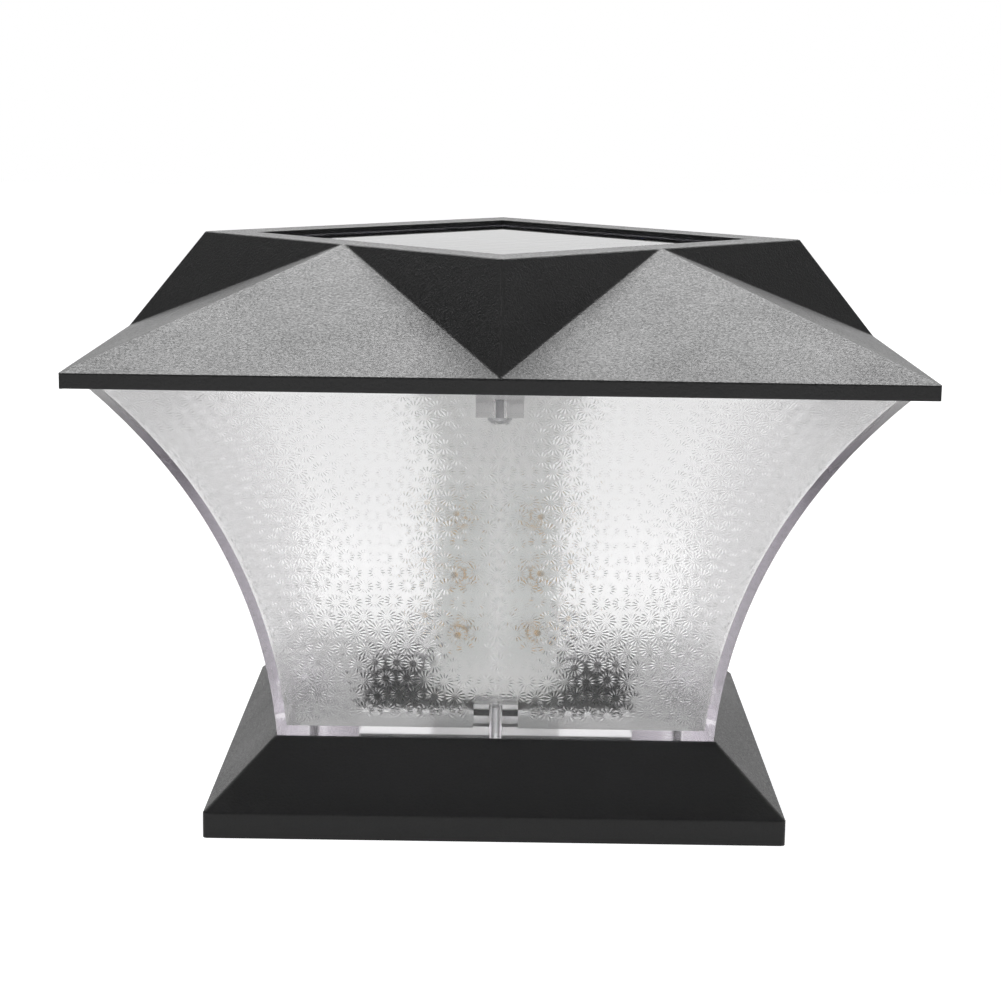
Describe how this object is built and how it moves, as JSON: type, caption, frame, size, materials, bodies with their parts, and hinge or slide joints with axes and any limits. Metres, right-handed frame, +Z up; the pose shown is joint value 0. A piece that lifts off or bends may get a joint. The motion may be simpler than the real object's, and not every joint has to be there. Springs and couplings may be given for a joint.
{
  "type": "solar post light",
  "caption": "Square solar light for a pillar or post: faceted black roof with a solar panel, clear flared shade round a white column of LED boards, black skirt base.",
  "frame": {"origin": "centre of the base's underside, which stands on the post", "axes": "+Z up through the column, -Y towards the front, X and Y square to the base's sides"},
  "size_m": [0.25, 0.25, 0.1805],
  "materials": {
    "black_moulding": "fine sand texture",
    "clear_moulding": "clear, patterned inside",
    "white_moulding": "satin",
    "cover_glass": "polished",
    "silicon": "satin dark blue",
    "backboard": "matt",
    "seal_rubber": "soft",
    "bright_steel": "plated",
    "led_board_mask": "white mask",
    "led_resin": "clear dome",
    "green_board": "green mask",
    "chip_resin": "moulded",
    "white_nylon": "moulded",
    "can_aluminium": "drawn can",
    "ferrite": "sintered",
    "battery_can": "plastic sleeve on a drawn can",
    "lead_sleeve": "extruded",
    "switch_resin": "moulded"
  },
  "bodies": {
    "light": {"roof_shell": "black_moulding", "panel_glass": "cover_glass", "solar_wafers": "silicon", "panel_backboard": "backboard", "panel_seal": "seal_rubber", "ceiling_plate": "white_moulding", "plate_gasket": "seal_rubber", "plate_screws": "bright_steel", "battery_holder": "black_moulding", "battery_cell_front": "battery_can", "battery_cell_rear": "battery_can", "battery_contacts": "bright_steel", "holder_screws": "bright_steel", "charging_board": "green_board", "board_screws": "bright_steel", "lead_sockets": "white_nylon", "charging_chip": "chip_resin", "capacitor": "can_aluminium", "inductor": "ferrite", "panel_lead": "lead_sleeve", "battery_lead": "lead_sleeve", "switch_lead": "lead_sleeve", "led_lead": "lead_sleeve", "column_collar": "white_moulding", "collar_screws": "bright_steel", "column_core": "white_moulding", "column_cap": "white_moulding", "cap_screws": "bright_steel", "switch_body": "switch_resin", "shade": "clear_moulding", "shade_top_screws": "bright_steel", "shade_base_screws": "bright_steel", "base_frame": "black_moulding", "led_board_1": "led_board_mask", "led_set_1": "led_resin", "led_board_2": "led_board_mask", "led_set_2": "led_resin", "led_board_3": "led_board_mask", "led_set_3": "led_resin", "led_board_4": "led_board_mask", "led_set_4": "led_resin", "led_board_5": "led_board_mask", "led_set_5": "led_resin", "led_board_6": "led_board_mask", "led_set_6": "led_resin"},
    "button": {"switch_button": "switch_resin"}
  },
  "joints": [
    {"name": "button_press", "type": "slide", "parent": "light", "child": "button", "axis": [0, 0, 1], "range_m": [0, 0.0015], "stiffness_N_per_m": 400}
  ]
}
